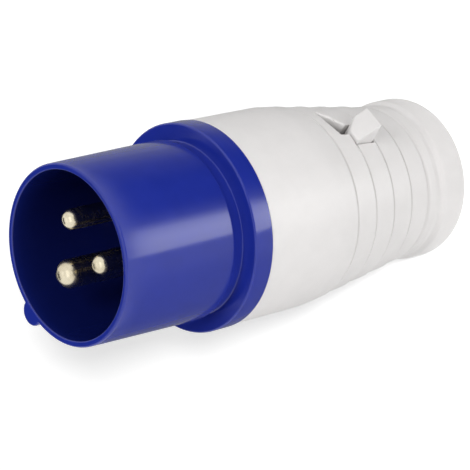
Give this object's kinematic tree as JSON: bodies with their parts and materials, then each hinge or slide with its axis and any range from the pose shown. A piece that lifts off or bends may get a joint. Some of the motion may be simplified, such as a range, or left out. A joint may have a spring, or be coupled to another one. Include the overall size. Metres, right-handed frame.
{
  "type": "industrial pin and sleeve plug",
  "caption": "Industrial pin and sleeve plug with a blue keyed shroud over its pins, a white twist-lock body with a lock tab, and a screwed cable gland nut.",
  "frame": {"origin": "centre of the gland nut's rear face, where the cable enters", "axes": "+Z along the plug's axis from the gland nut to the shroud's rim; -Y towards the shroud's key and the earth pin; +X completes a right-handed frame. The plug stands on its gland nut with the pins up."},
  "size_m": [0.051, 0.0533, 0.1146],
  "materials": {
    "shroud_blue": "satin moulded",
    "shell_white": "satin moulded",
    "carrier_grey": "moulded",
    "pin_metal": "nickel-plated, turned",
    "screw_metal": "zinc-plated",
    "seal_rubber": "moulded",
    "clamp_grey": "moulded"
  },
  "bodies": {
    "plug_body": {"front_shroud": "shroud_blue", "contact_carrier": "carrier_grey", "line_pin": "pin_metal", "neutral_pin": "pin_metal", "earth_pin": "pin_metal", "line_terminal_screw": "screw_metal", "neutral_terminal_screw": "screw_metal", "earth_terminal_screw": "screw_metal", "terminal_cover": "carrier_grey", "carrier_screw_1": "screw_metal", "carrier_screw_2": "screw_metal", "carrier_screw_3": "screw_metal", "flange_seal": "seal_rubber", "body_shell": "shell_white", "grip_seal": "seal_rubber", "grip_housing": "shell_white", "sealing_grommet": "seal_rubber", "clamp_cage": "clamp_grey"},
    "lock_tab": {"lock_tab": "shell_white"},
    "slip_ring": {"slip_ring": "clamp_grey"},
    "gland_nut": {"gland_nut": "shell_white"}
  },
  "joints": [
    {"name": "lock_tab_lift", "type": "hinge", "parent": "plug_body", "child": "lock_tab", "pos_m": [-0.00128, 0.02094, 0.03205], "axis": [-0.9981, -0.061, 0], "range_deg": [0, 18]},
    {"name": "gland_travel", "type": "slide", "parent": "plug_body", "child": "slip_ring", "axis": [0, 0, -1], "range_m": [0, 0.006]},
    {"name": "gland_turn", "type": "hinge", "parent": "slip_ring", "child": "gland_nut", "pos_m": [0, 0, 0.0075], "axis": [0, 0, -1], "range_deg": [0, 1081]}
  ],
  "couplings": [
    {"joint": "gland_turn", "follows": "gland_travel", "rad_per_m": 3141.6}
  ]
}
